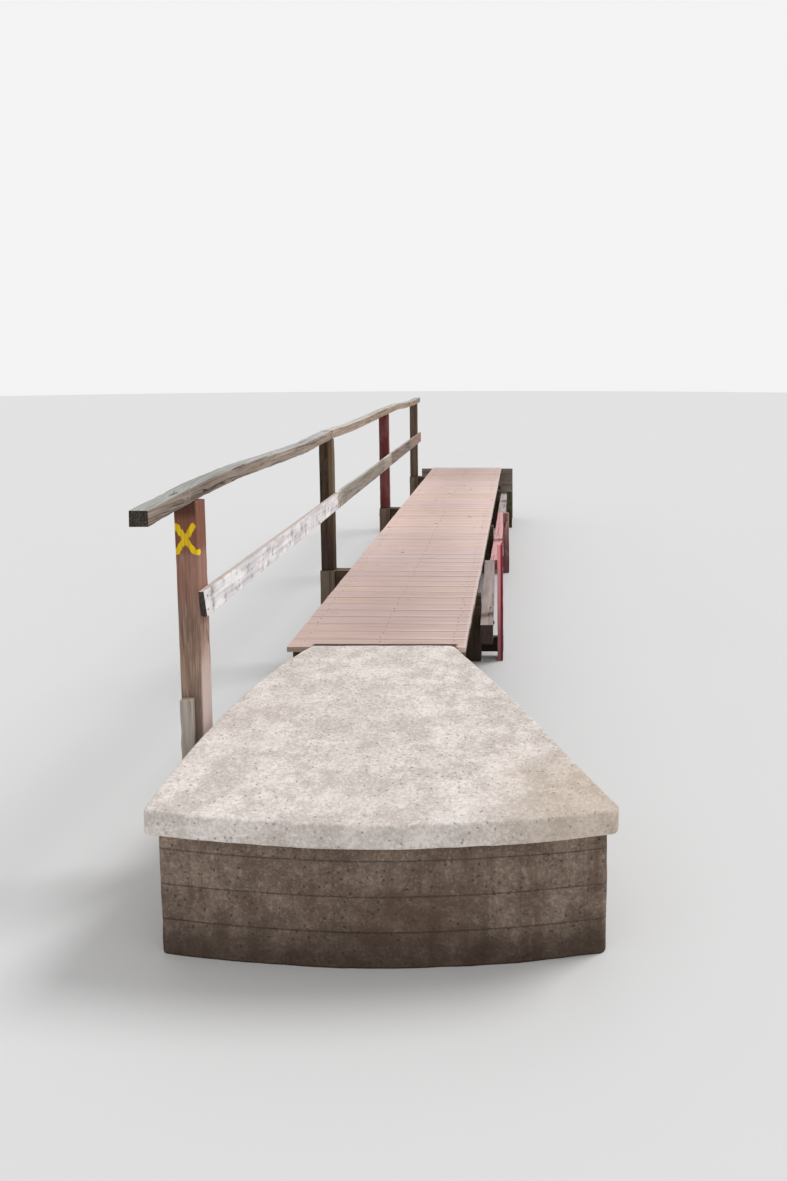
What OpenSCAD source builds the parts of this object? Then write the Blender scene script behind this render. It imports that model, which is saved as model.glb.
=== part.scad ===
// Timber footbridge on piers, with a railing on its left side and a cast landing at its near end.
// Millimetres. X runs across the bridge, Y along it to the far bank, Z up from the lowest ground.
// The origin lies on the ground, midway between the deck's sides, below its near edge.

/* [Deck] */
// Length of a deck board, which is the width of the walkway
deck_width = 1000; // [960:10:1100]
// Height of the walking surface above the lowest ground
deck_height = 750; // [700:10:1200]
// Distance from the near edge of one board to the next
board_pitch = 153; // [151:1:162]
// Open gap between two boards
board_gap = 8; // [3:1:12]
// Thickness of a board
board_thick = 30; // [22:1:40]
// Boards in each of the first four deck sections; the fifth holds the rest
boards_per_section = 11; // [11:1:12]
// Least reach of the deck past the third pier's centre
last_bay = 665; // [600:5:900]

/* [Stringers] */
// Width of a stringer
stringer_width = 75; // [50:1:110]
// Depth of a stringer
stringer_depth = 200; // [180:5:240]
// Distance of the outer stringers' centres from the middle of the deck
stringer_offset = 430; // [410:5:440]

/* [Piers] */
// Distance of the first pier's centre from the deck's near edge
first_pier = 2030; // [1900:10:2200]
// Distance from the first pier to the second
second_span = 2945; // [2800:5:3100]
// Distance from the second pier to the third
third_span = 2700; // [2600:10:2850]
// Side of a square leg
leg_size = 120; // [100:5:140]
// Distance of a leg's outer face from the middle of the deck
leg_reach = 495; // [485:5:520]
// Depth of the cap on the legs
cap_depth = 150; // [100:5:180]
// Width of the cross bearer under the boards
bearer_width = 100; // [60:5:120]
// Depth of the cross bearer
bearer_depth = 150; // [100:5:170]
// How deep bearer and stringer are halved into each other
lap_depth = 75; // [50:5:90]
// Side clearance in the halved joints
lap_clearance = 0.5; // [0.2:0.1:2]
// Thickness of the tie across the backs of the legs
tie_thick = 50; // [30:5:70]
// Height of the tie
tie_height = 120; // [80:5:140]
// Height of the tie's lower edge above the ground
tie_level = 40; // [20:5:60]

/* [Side beams] */
// Width of a side beam
beam_width = 95; // [60:5:110]
// Depth of a side beam
beam_depth = 150; // [100:5:160]
// Distance of a side beam's top below the walking surface
beam_drop = 380; // [360:5:400]
// Distance of the splice in the side beams from the deck's near edge
splice_place = 4030; // [3800:10:4400]
// Length of the splice
splice_length = 200; // [120:10:300]
// How far the near lengths reach past the first pier, towards the landing
beam_overhang = 320; // [200:10:400]
// Play in the splice
splice_play = 4; // [3:0.5:8]
// Turn of the near right-hand beam out of line with the deck, in degrees
beam_splay = 1.45; // [0:0.05:1.5]

/* [Railing] */
// Side of a railing post
post_size = 100; // [80:1:110]
// Distance of the posts' inner faces from the side beam
post_reach = 50; // [40:1:70]
// Distance of the first post's centre from the deck's near edge, towards the landing
first_post_out = 875; // [800:5:1000]
// Depth of the first post, along the bridge
first_post_depth = 122; // [100:1:130]
// Side of a railing pile
pile_size = 120; // [110:1:140]
// Side of the tenon under a post
tenon_size = 40; // [30:1:50]
// Length of the tenon
tenon_length = 80; // [40:5:100]
// Clearance round the tenon
tenon_clearance = 1; // [0.5:0.1:3]
// How far a pile stands in from the post on it, towards the deck
pile_shift = 3; // [0:1:8]
// Width of the top rail
rail_width = 80; // [60:1:95]
// Thickness of the top rail
rail_thick = 68; // [50:1:80]
// How far the top rail lies behind the posts' inner faces
rail_setback = 5; // [0:1:15]
// Height of the top rail's upper face above the deck, at the second post
rail_height = 1055; // [950:1:1150]
// How much lower the rail's near end hangs than the second post
near_droop = 40; // [0:1:60]
// How far the rail sags between the first and second posts
rail_sag = 22; // [0:1:25]
// How much higher the rail lies at the third post than at the second
third_post_rise = 8; // [0:1:20]
// How far the back of the first post's top is cut below the rail
seat_drop = 10; // [2:1:20]
// How far the rail reaches past the first post, towards the landing
near_overhang = 570; // [300:10:650]
// How far the rail reaches past the last post
far_overhang = 430; // [300:10:500]
// Length of the halved joint in the top rail
rail_lap = 80; // [40:5:90]
// Height of a middle rail board
mid_rail_height = 128; // [90:1:150]
// Thickness of a middle rail board
mid_rail_thick = 27; // [18:1:40]
// Height of the middle rail's lower edge above the deck
mid_rail_level = 437; // [350:1:550]
// How far the middle rail's near end reaches past the first post's line
mid_rail_out = 60; // [0:5:80]
// How far the sawn end of the near middle rail slants out at its top
mid_rail_slant = 37; // [0:1:60]
// How far the middle rail boards reach past the posts' centres at their butts
butt_reach = 25; // [-30:1:35]
// Open joint between two middle rail boards
butt_joint = 3; // [1:0.5:10]
// How far the middle rail ends short of the top rail at the far end
mid_rail_short = 220; // [150:5:300]
// Width of the old stub in front of the first post
old_stub_width = 55; // [40:1:90]
// Thickness of that stub
old_stub_thick = 45; // [30:1:60]
// Height of that stub's top above the deck
old_stub_rise = 70; // [0:5:150]
// Distance of that stub's middle from the post's outer face
old_stub_inset = 35; // [25:1:70]

/* [Right-hand stubs] */
// Width of the first post left on the right side
stub_width = 46; // [35:1:60]
// Width of the second one
stub_width_2 = 66; // [46:1:70]
// Gap between the third one and the side beam
third_stub_gap = 4; // [1:0.5:30]
// Distance of the first stub's inner face from the side beam
stub_reach = 30; // [22:1:45]
// Height of the first stub's top above the deck
stub_rise_1 = 175; // [0:5:300]
// Depth of the second stub's top below the deck
stub_drop_2 = 80; // [0:5:150]
// Depth of the third stub's top below the deck
stub_drop_3 = 235; // [100:5:300]
// Fall of a stub's top across its width
stub_slant = 10; // [0:1:25]

/* [Landing] */
// Length of the landing, measured along the bridge
landing_length = 1605; // [1400:5:1800]
// Thickness of the landing slab
slab_thick = 100; // [60:5:150]
// Height of the slab's upper edge above the deck
slab_rise = 15; // [5:1:30]
// Fall of the slab from its upper edge to its foot
slab_fall = 153; // [80:1:200]
// Joint between the slab and the first board
landing_gap = 8; // [4:1:20]
// How far the footing stands in from the slab's edges
footing_inset = 40; // [20:5:80]
// Length of the footing's shelf under the stringers
shelf_length = 230; // [150:5:300]
// Reach of the landing to the left, at the deck
head_left = 350; // [300:5:450]
// Reach of the landing to the right, at the deck
head_right = 410; // [350:5:450]
// Cut of its right-hand corner at the deck
head_bevel = 65; // [40:5:90]
// Reach of the landing to the left, at its foot
foot_left = 661; // [600:1:750]
// Reach of the landing to the right, at its foot
foot_right = 1197; // [1100:1:1300]
// Bow of the landing's left side
left_bow = 112; // [0:2:150]
// Bow of the landing's right side
right_bow = 41; // [0:1:100]
// Bow of the landing's foot
foot_bow = 87; // [20:1:100]
// Rounding of the landing's corners
foot_corner = 45; // [20:5:80]

/* [Far bank] */
// Length of the far abutment along the bridge
abutment_length = 290; // [240:5:400]
// Thickness of a retaining plank
plank_thick = 50; // [30:1:70]
// Half of a retaining plank's length
plank_reach = 665; // [600:5:750]
// Depth of the top plank's upper edge below the deck
plank_drop = 15; // [5:5:120]
// Distance of the far sill from the abutment's near edge
sill_inset = 40; // [20:5:100]
// Joint between two retaining planks
plank_joint = 2; // [1:0.5:6]

/* [Hidden] */

section_count = 5;
pier_places = [first_pier, first_pier + second_span, first_pier + second_span + third_span];
board_count = ceil((pier_places[2] + last_bay) / board_pitch);
deck_length = board_count * board_pitch - board_gap;
boards_under = deck_height - board_thick;
stringers_under = boards_under - stringer_depth;
cap_under = stringers_under - cap_depth;
lap_level = boards_under - lap_depth;
beam_top = deck_height - beam_drop;
beam_face = leg_reach + beam_width;
post_inner = beam_face + post_reach;
post_places = [-first_post_out, pier_places[0], pier_places[1], pier_places[2]];
stringer_places = [-stringer_offset, 0, stringer_offset];
pile_inner = post_inner + post_size / 2 - pile_size / 2 - pile_shift;
pile_back = pile_size / 2;
rail_inner = post_inner + rail_setback;
rail_near_end = -first_post_out - near_overhang;
rail_far_end = pier_places[2] + far_overhang;
rail_line = [
    [rail_near_end, rail_height - near_droop],
    [post_places[0], rail_height - 0.3 * near_droop],
    [post_places[0] + 0.2 * (first_post_out + first_pier), rail_height],
    [post_places[0] + 0.7 * (first_post_out + first_pier), rail_height - rail_sag],
    [post_places[1], rail_height],
    [post_places[1] + 0.3 * second_span, rail_height - 0.6 * rail_sag],
    [post_places[2], rail_height + third_post_rise],
    [post_places[2] + 0.3 * third_span, rail_height + 1.5 * third_post_rise],
    [post_places[2] + 0.6 * third_span, rail_height - 0.5 * rail_sag],
    [post_places[2] + 0.92 * third_span, rail_height - 0.85 * rail_sag],
    [rail_far_end, rail_height - 0.5 * rail_sag]
];
butts = [post_places[1] + butt_reach, post_places[2] + butt_reach];
mid_rail_start = post_places[0] - mid_rail_out;
mid_rail_end = rail_far_end - mid_rail_short;
stub_outer = beam_face + stub_reach + stub_width;
stub_width_3 = stub_outer - beam_face - third_stub_gap;
slab_reach = landing_length + 2 * foot_bow;
wood_grey = [0.56, 0.52, 0.47];
wood_pale = [0.72, 0.70, 0.66];
wood_brown = [0.36, 0.27, 0.20];
wood_dark = [0.24, 0.18, 0.14];
board_tan = [0.74, 0.62, 0.56];
paint_red = [0.55, 0.20, 0.18];
concrete = [0.74, 0.71, 0.66];
earth_concrete = [0.48, 0.42, 0.36];

// Height of the rail's upper face above the ground at a place along the bridge
function rail_top(y) = deck_height + lookup(y, rail_line);
// Places from a to b where the rail's upper face starts, bends and ends
function rail_places(a, b) = concat([a], [for (p = rail_line) if (p[0] > a && p[0] < b) p[0]], [b]);
// Upper edge of a rail piece from a to b, lowered by drop
function rail_edge(a, b, drop) = [for (y = rail_places(a, b)) [y, rail_top(y) - drop]];
// The same edge from b back to a
function rail_edge_back(a, b, drop) =
    let (edge = rail_edge(a, b, drop)) [for (i = [len(edge) - 1:-1:0]) edge[i]];
// Points on a curve from a to c that is drawn towards b
function curve(a, b, c, steps) =
    [for (i = [0:steps]) let (t = i / steps) a * (1 - t) * (1 - t) + b * 2 * t * (1 - t) + c * t * t];
// Height of the landing's surface above the ground at a place along the bridge
function slab_top(y) =
    deck_height + slab_rise - slab_fall * (-landing_gap - y) / (landing_length - landing_gap);

// A length of timber, given by its lowest corner and its size
module timber(corner, size) {
    translate(corner)
        cube(size);
}

// A side view, drawn along the bridge and upwards, and given a width across the bridge
module side_view(points, left, width) {
    translate([left, 0, 0])
        rotate([90, 0, 90])
            linear_extrude(width)
                polygon(points);
}

// Plan of the landing: narrow at the deck, flared to its foot, with each edge moved in by inset
module landing_plan(inset) {
    head = -landing_gap;
    foot = inset - landing_length;
    left = inset - foot_left;
    right = foot_right - inset;
    bevel_side = head_right + head_bevel - inset;
    bevel_end = head - 1.2 * head_bevel;
    left_middle = (head_left + foot_left) / 2 + left_bow - inset;
    right_middle = (head_right + foot_right) / 2 - right_bow - inset;
    left_edge = curve([inset - head_left, head], [-left_middle, 0.3 * foot], [left, foot + foot_corner], 12);
    left_corner = curve([left, foot + foot_corner], [left, foot], [left + foot_corner, foot], 4);
    near_edge = curve([left + foot_corner, foot],
                      [(left + right) / 2, foot - 2 * foot_bow],
                      [right - foot_corner, foot], 12);
    right_corner = curve([right - foot_corner, foot], [right, foot], [right, foot + foot_corner], 4);
    right_edge = curve([right, foot + foot_corner], [right_middle, 0.37 * foot], [bevel_side, bevel_end], 10);
    head_corner = curve([bevel_side, bevel_end],
                        [bevel_side - 0.4 * head_bevel, head],
                        [head_right - inset, head], 4);
    polygon(concat(left_edge, left_corner, near_edge, right_corner, right_edge, head_corner));
}

// A side view as wide as the landing
module landing_side_view(points) {
    side_view(points, -foot_right, 2 * foot_right + 1);
}

module landing_slab() {
    color(concrete)
        intersection() {
            linear_extrude(deck_height + 2 * slab_rise)
                landing_plan(0);
            landing_side_view([
                [0, slab_top(0)],
                [-slab_reach, slab_top(-slab_reach)],
                [-slab_reach, slab_top(-slab_reach) - slab_thick],
                [0, slab_top(0) - slab_thick]
            ]);
        }
}

module landing_footing() {
    color(earth_concrete)
        union() {
            intersection() {
                linear_extrude(deck_height)
                    landing_plan(footing_inset);
                landing_side_view([
                    [0, slab_top(0) - slab_thick],
                    [-slab_reach, slab_top(-slab_reach) - slab_thick],
                    [-slab_reach, 0],
                    [0, 0]
                ]);
            }
            timber([-leg_reach, -landing_gap, 0],
                   [2 * leg_reach, landing_gap + shelf_length, stringers_under]);
        }
}

module far_abutment() {
    color(concrete)
        timber([-leg_reach, deck_length - abutment_length, 0], [2 * leg_reach, abutment_length, cap_under]);
}

module far_sill() {
    color(wood_brown)
        timber([-leg_reach, deck_length - abutment_length + sill_inset, cap_under],
               [2 * leg_reach, leg_size, cap_depth]);
}

module retaining_planks() {
    plank_count = 4;
    plank_height = (deck_height - plank_drop + plank_joint) / plank_count;
    color(wood_grey)
        for (i = [0:plank_count - 1])
            timber([-plank_reach, deck_length, i * plank_height],
                   [2 * plank_reach, plank_thick, plank_height - plank_joint]);
}

// One line of stringers: two lengths that meet on the second pier's cap
module stringer(place) {
    end_play = 2;
    ends = [[0, pier_places[1] - end_play / 2], [pier_places[1] + end_play / 2, deck_length]];
    color(wood_brown)
        for (end = ends)
            difference() {
                timber([place - stringer_width / 2, end[0], stringers_under],
                       [stringer_width, end[1] - end[0], stringer_depth]);
                for (pier = pier_places)
                    timber([place - stringer_width, pier - bearer_width / 2 - lap_clearance, lap_level],
                           [2 * stringer_width, bearer_width + 2 * lap_clearance, lap_depth + 1]);
            }
}

module deck_boards(section) {
    first = section * boards_per_section;
    end = section < section_count - 1 ? first + boards_per_section : board_count;
    color(board_tan)
        for (i = [first:end - 1])
            timber([-deck_width / 2, i * board_pitch, boards_under],
                   [deck_width, board_pitch - board_gap, board_thick]);
}

module pier_legs(pier) {
    color(wood_dark)
        for (left = [-leg_reach, leg_reach - leg_size])
            timber([left, pier - leg_size / 2, 0], [leg_size, leg_size, cap_under]);
}

module pier_cap(pier) {
    color(wood_dark)
        timber([-leg_reach, pier - leg_size / 2, cap_under], [2 * leg_reach, leg_size, cap_depth]);
}

// Cross bearer under the boards, halved over each stringer and running out to the railing pile
module pier_bearer(pier) {
    right_end = stringer_offset + stringer_width / 2;
    notch_width = stringer_width + 2 * lap_clearance;
    color(wood_brown)
        difference() {
            timber([-pile_inner, pier - bearer_width / 2, boards_under - bearer_depth],
                   [pile_inner + right_end, bearer_width, bearer_depth]);
            for (place = stringer_places)
                timber([place - notch_width / 2, pier - bearer_width, boards_under - bearer_depth - 1],
                       [notch_width, 2 * bearer_width, bearer_depth - lap_depth + 1]);
        }
}

module pier_tie(pier) {
    color(wood_dark)
        timber([-pile_inner - pile_size, pier + pile_back, tie_level],
               [pile_inner + pile_size + stub_outer, tie_thick, tie_height]);
}

// Railing pile, sawn off level with the bearer and mortised for the post above it
module left_pile(pier) {
    socket = tenon_size + 2 * tenon_clearance;
    color(wood_grey)
        difference() {
            timber([-pile_inner - pile_size, pier - pile_size / 2, 0], [pile_size, pile_size, boards_under]);
            timber([-post_inner - post_size / 2 - socket / 2,
                    pier + pile_back - post_size / 2 - socket / 2,
                    boards_under - tenon_length - tenon_clearance],
                   [socket, socket, tenon_length + tenon_clearance + 1]);
        }
}

// Railing post from foot up to the rail, its top cut to the rail's slope
module post(place, depth, foot) {
    back = place + pile_back;
    side_view(concat([[back, foot], [back - depth, foot]], rail_edge(back - depth, back, rail_thick)),
              -post_inner - post_size, post_size);
}

// The first post's top falls away behind its middle, so the rail stands clear of it there
module rail_post_1() {
    back = post_places[0] + pile_back;
    middle = back - first_post_depth / 2;
    seat = rail_top(middle) - rail_thick;
    color(wood_brown)
        difference() {
            post(post_places[0], first_post_depth, 0);
            side_view([
                [middle, seat],
                [back + 1, seat - seat_drop],
                [back + 1, seat + post_size]
            ], -post_inner - post_size - 1, post_size + 2);
        }
}

module rail_post_on_pile(index, shade) {
    back = post_places[index] + pile_back;
    color(shade)
        union() {
            post(post_places[index], post_size, boards_under);
            timber([-post_inner - post_size / 2 - tenon_size / 2,
                    back - post_size / 2 - tenon_size / 2,
                    boards_under - tenon_length],
                   [tenon_size, tenon_size, tenon_length + 1]);
        }
}

module old_stub() {
    front = post_places[0] + pile_back - first_post_depth;
    color(wood_pale)
        timber([-post_inner - post_size + old_stub_inset - old_stub_width / 2, front - old_stub_thick, 0],
               [old_stub_width, old_stub_thick, deck_height + old_stub_rise]);
}

// A length of the top rail from a to b; a halved end keeps its lower half at b and its upper half at a
module top_rail(a, b, halved_a, halved_b) {
    half = rail_thick / 2;
    reach = rail_lap / 2;
    upper_start = halved_a ? a - reach : a;
    lower_start = halved_a ? a + reach : a;
    upper_end = halved_b ? b - reach : b;
    lower_end = halved_b ? b + reach : b;
    color(wood_grey)
        side_view(concat(
            rail_edge(upper_start, upper_end, 0),
            rail_edge_back(upper_end, lower_end, half),
            rail_edge_back(lower_start, lower_end, rail_thick),
            rail_edge(upper_start, lower_start, half)
        ), -rail_inner - rail_width, rail_width);
}

// A middle rail board from a to b; its end at a slants out at its top
module mid_rail(a, b, slant, shade) {
    low = deck_height + mid_rail_level;
    high = low + mid_rail_height;
    color(shade)
        side_view([[a + slant / 2, low], [b, low], [b, high], [a - slant / 2, high]],
                  -post_inner, mid_rail_thick);
}

// A side beam on the legs' outer faces; the two lengths are halved together at the splice
module side_beam(left, near, shade) {
    half = beam_depth / 2;
    start = first_pier - beam_overhang;
    low = beam_top - beam_depth;
    upper_end = splice_place - splice_length / 2 - splice_play;
    lower_end = splice_place + splice_length / 2 - splice_play;
    near_points = [
        [start, low],
        [lower_end, low],
        [lower_end, low + half],
        [upper_end, low + half],
        [upper_end, beam_top],
        [start, beam_top]
    ];
    far_points = [
        [splice_place + splice_length / 2, low],
        [deck_length, low],
        [deck_length, beam_top],
        [splice_place - splice_length / 2, beam_top],
        [splice_place - splice_length / 2, low + half],
        [splice_place + splice_length / 2, low + half]
    ];
    color(shade)
        side_view(near ? near_points : far_points, left, beam_width);
}

// The near right-hand beam is out of line: it turns in about the first pier's near corner and is
// housed over the leg
module right_side_beam_near() {
    pivot = [leg_reach, first_pier - leg_size / 2, 0];
    color(wood_grey)
        difference() {
            translate(pivot)
                rotate([0, 0, beam_splay])
                    translate(-pivot)
                        side_beam(leg_reach, true, wood_grey);
            pier_legs(first_pier);
        }
}

// Post sawn or broken off on the right side, its slanting top given as a height above the deck
module right_stub(pier, width, rise, shade) {
    top = deck_height + rise;
    color(shade)
        translate([stub_outer - width, pier + pile_back, 0])
            rotate([90, 0, 0])
                linear_extrude(post_size)
                    polygon([[0, 0], [width, 0], [width, top - stub_slant], [0, top]]);
}

landing_slab();
landing_footing();
far_abutment();
far_sill();
retaining_planks();
stringer(stringer_places[0]);  // stringer_left
stringer(stringer_places[1]);  // stringer_middle
stringer(stringer_places[2]);  // stringer_right
deck_boards(0);  // deck_boards_1
deck_boards(1);  // deck_boards_2
deck_boards(2);  // deck_boards_3
deck_boards(3);  // deck_boards_4
deck_boards(4);  // deck_boards_5
pier_legs(pier_places[0]);  // pier_1_legs
pier_cap(pier_places[0]);  // pier_1_cap
pier_bearer(pier_places[0]);  // pier_1_bearer
pier_tie(pier_places[0]);  // pier_1_tie
pier_legs(pier_places[1]);  // pier_2_legs
pier_cap(pier_places[1]);  // pier_2_cap
pier_bearer(pier_places[1]);  // pier_2_bearer
pier_tie(pier_places[1]);  // pier_2_tie
pier_legs(pier_places[2]);  // pier_3_legs
pier_cap(pier_places[2]);  // pier_3_cap
pier_bearer(pier_places[2]);  // pier_3_bearer
pier_tie(pier_places[2]);  // pier_3_tie
left_pile(pier_places[0]);  // left_pile_1
left_pile(pier_places[1]);  // left_pile_2
left_pile(pier_places[2]);  // left_pile_3
rail_post_1();
rail_post_on_pile(1, wood_dark);  // rail_post_2
rail_post_on_pile(2, paint_red);  // rail_post_3
rail_post_on_pile(3, wood_dark);  // rail_post_4
old_stub();
top_rail(rail_near_end, post_places[1], false, true);  // top_rail_near
top_rail(post_places[1], post_places[2], true, true);  // top_rail_middle
top_rail(post_places[2], rail_far_end, true, false);  // top_rail_far
mid_rail(mid_rail_start, butts[0], mid_rail_slant, wood_pale);  // mid_rail_near
mid_rail(butts[0] + butt_joint, butts[1], 0, wood_grey);  // mid_rail_middle
mid_rail(butts[1] + butt_joint, mid_rail_end, 0, wood_grey);  // mid_rail_far
side_beam(-beam_face, true, wood_grey);  // left_side_beam_near
side_beam(-beam_face, false, wood_grey);  // left_side_beam_far
right_side_beam_near();
side_beam(leg_reach, false, paint_red);  // right_side_beam_far
right_stub(pier_places[0], stub_width, stub_rise_1, paint_red);  // right_stub_1
right_stub(pier_places[1], stub_width_2, -stub_drop_2, paint_red);  // right_stub_2
right_stub(pier_places[2], stub_width_3, -stub_drop_3, wood_dark);  // right_stub_3
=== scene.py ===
"""Looks of a timber footbridge with a railing on one side and a cast landing at its near end.

Metres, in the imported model's frame: X across the bridge, Y to the far bank, Z up from the ground.
"""

import logging
import math
import random
from dataclasses import dataclass, field
from enum import Enum

import bmesh
import bpy
from mathutils import Matrix, Vector, noise


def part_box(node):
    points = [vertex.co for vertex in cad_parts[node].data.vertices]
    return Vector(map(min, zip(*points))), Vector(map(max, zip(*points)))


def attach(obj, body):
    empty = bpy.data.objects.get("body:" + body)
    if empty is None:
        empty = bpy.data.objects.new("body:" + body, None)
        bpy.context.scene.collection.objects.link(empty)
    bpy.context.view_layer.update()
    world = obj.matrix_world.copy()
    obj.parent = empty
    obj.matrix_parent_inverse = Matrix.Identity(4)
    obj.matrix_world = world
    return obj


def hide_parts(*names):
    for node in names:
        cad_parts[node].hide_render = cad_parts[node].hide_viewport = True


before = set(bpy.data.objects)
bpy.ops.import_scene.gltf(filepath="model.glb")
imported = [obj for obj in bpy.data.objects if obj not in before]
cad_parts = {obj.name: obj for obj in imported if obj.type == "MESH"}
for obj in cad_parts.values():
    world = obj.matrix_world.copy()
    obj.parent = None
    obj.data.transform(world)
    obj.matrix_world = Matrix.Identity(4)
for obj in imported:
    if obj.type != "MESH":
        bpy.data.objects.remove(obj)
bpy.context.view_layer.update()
LOG = logging.getLogger("footbridge")

Pair = tuple[float, float]
Triple = tuple[float, float, float]
Colour = Triple
Shape = bmesh.types.BMesh
Vert = bmesh.types.BMVert
Piece = bpy.types.Object
Material = bpy.types.Material
Socket = bpy.types.NodeSocket
Amount = float | Socket
Coat = tuple[Socket, float, Colour]
Head = tuple[Vector, Vector]

UP = Vector((0.0, 0.0, 1.0))
NOISE_SEED = 7
MERGE_DISTANCE = 1e-5
FLAT_ANGLE = math.radians(1)
CAST_EDGE_ANGLE = math.radians(40)
SAWN_END_FACING = 0.8
GRAIN_LENGTH = 40.0
PITH_ASIDE = (-0.3, 0.3)
PITH_AWAY = (0.4, 1.2)
CROSSWISE = (0.0, 1.0, 1.0)
TIMBER_GLOSS = 0.25
CAST_GLOSS = 0.3
IRON_GLOSS = 0.5
WET_SOIL = (0.20, 0.16, 0.12)
MOSS_GREEN = (0.33, 0.36, 0.22)
FLOOR_WHITES = ((0.90, 0.90, 0.90), (0.91, 0.91, 0.91))
BOARD_PITCH = 0.153
SECTIONS = 5
BOARDS_PER_SECTION = 11
PIERS = (1, 2, 3)
LENGTHS = ("near", "middle", "far")


class Axis(Enum):
    """A direction of the frame."""

    ACROSS = 0
    ALONG = 1
    UPWARD = 2


class Cut(Enum):
    """Which part of a sawn timber a material covers."""

    SIDE = "side"
    END = "end"


class Mode(Enum):
    """How a colour goes over another: plainly, or lightening it and keeping its grain."""

    PLAIN = "MIX"
    LIGHTEN = "DODGE"


def screen_colour(colour: Colour) -> tuple[float, ...]:
    """Turn a colour as it looks on a screen into linear light, with full opacity."""
    return (*(c / 12.92 if c <= 0.04045 else ((c + 0.055) / 1.055) ** 2.4 for c in colour), 1.0)


def toned(colour: Colour, factor: float) -> Colour:
    """Make a colour darker or lighter by a factor."""
    return tuple(min(1.0, factor * c) for c in colour)


class Pen:
    """Draws one material, with short calls for the nodes that the finishes share."""

    def __init__(self, name: str, gloss: float) -> None:
        """Start a material.

        Args:
            name: name of the material.
            gloss: specular level of the whole surface.
        """
        self.material = bpy.data.materials.new(name)
        self.material.use_nodes = True
        self.tree = self.material.node_tree
        self.shader = self.tree.nodes["Principled BSDF"]
        self.shader.inputs["Specular IOR Level"].default_value = gloss

    def feed(self, target: Socket, value: object) -> None:
        """Give an input a value or another node's output.

        Args:
            target: the input.
            value: what it gets.
        """
        if isinstance(value, Socket):
            self.tree.links.new(value, target)
        else:
            target.default_value = value

    def add(self, kind: str, output: int | str, inputs: dict[int | str, object],
            **settings: object) -> Socket:
        """Add a node and feed its inputs.

        Args:
            kind: type name of the node.
            output: the output that is returned, by number or name.
            inputs: what each input gets.
            **settings: the node's own settings.

        Returns:
            The chosen output.
        """
        node = self.tree.nodes.new(kind)
        for key, value in settings.items():
            setattr(node, key, value)
        for key, value in inputs.items():
            self.feed(node.inputs[key], value)
        return node.outputs[output]

    def attribute(self, name: str, output: str) -> Socket:
        """Read a mesh attribute by name."""
        return self.add("ShaderNodeAttribute", output, {}, attribute_name=name)

    def place(self) -> Socket:
        """Position in the frame, in metres."""
        return self.add("ShaderNodeTexCoord", "Object", {})

    def part(self, vector: Socket, axis: Axis) -> Socket:
        """One component of a vector."""
        return self.add("ShaderNodeSeparateXYZ", axis.value, {0: vector})

    def join(self, parts: dict[int, Socket]) -> Socket:
        """Vector from its components, zero where none is given."""
        return self.add("ShaderNodeCombineXYZ", 0, parts)

    def work(self, operation: str, a: Amount, b: Amount = 0.0, c: Amount = 0.0) -> Socket:
        """Work out a number from up to three others."""
        return self.add("ShaderNodeMath", 0, {0: a, 1: b, 2: c}, operation=operation)

    def times(self, a: Amount, b: Amount) -> Socket:
        """Product of two numbers."""
        return self.work("MULTIPLY", a, b)

    def fit(self, value: Amount, gain: Amount, lift: Amount) -> Socket:
        """Multiply a number by a gain and add a lift."""
        return self.work("MULTIPLY_ADD", value, gain, lift)

    def vector(self, operation: str, a: Socket | Triple, b: Socket | Triple = (0.0, 0.0, 0.0),
               output: int | str = 0) -> Socket:
        """Work out a vector from one or two others, or with the output "Value" a number."""
        return self.add("ShaderNodeVectorMath", output, {0: a, 1: b}, operation=operation)

    def clouds(self, vector: Socket, stretch: Triple, detail: float = 3.0, rough: float = 0.55,
               output: str = "Fac") -> Socket:
        """Cloudy noise around one half, with so many clouds per metre along each direction."""
        scaled = self.vector("MULTIPLY", vector, stretch)
        return self.add("ShaderNodeTexNoise", output, {
            "Vector": scaled, "Scale": 1.0, "Detail": detail, "Roughness": rough})

    def bands(self, value: Socket, per_metre: float) -> Socket:
        """Uneven bands along one number, around one half."""
        return self.add("ShaderNodeTexNoise", "Fac", {
            "W": value, "Scale": per_metre, "Detail": 2.0, "Roughness": 0.6},
            noise_dimensions="1D")

    def specks(self, vector: Socket, stretch: Triple) -> Socket:
        """Distance to the nearest of many scattered points."""
        scaled = self.vector("MULTIPLY", vector, stretch)
        return self.add("ShaderNodeTexVoronoi", "Distance", {"Vector": scaled, "Scale": 1.0})

    def flat_specks(self, vector: Socket, per_metre: float, share: float) -> Socket:
        """Distance to the nearest of some scattered points in the plane of the first two parts.

        Args:
            vector: where it is read.
            per_metre: points per metre if none were left out.
            share: share of the points that are kept.

        Returns:
            The distance, large near points that are left out.
        """
        near = self.add("ShaderNodeTexVoronoi", "Distance",
                        {"Vector": vector, "Scale": per_metre}, voronoi_dimensions="2D")
        draw = self.part(near.node.outputs["Color"], Axis.ACROSS)
        return self.work("ADD", near, self.work("GREATER_THAN", draw, share))

    def step(self, value: Socket, start: float, stop: float) -> Socket:
        """Smooth rise from 0 at start to 1 at stop."""
        return self.add("ShaderNodeMapRange", "Result", {
            "Value": value, "From Min": start, "From Max": stop},
            interpolation_type="SMOOTHSTEP")

    def blend(self, amount: Amount, first: Socket | Colour, second: Socket | Colour,
              mode: Mode = Mode.PLAIN) -> Socket:
        """Blend an amount of a second colour, also one as it looks on a screen, into a first."""
        pair = [c if isinstance(c, Socket) else screen_colour(c) for c in (first, second)]
        return self.add("ShaderNodeMix", 2, {0: amount, 6: pair[0], 7: pair[1]},
                        data_type="RGBA", blend_type=mode.value)

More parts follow.
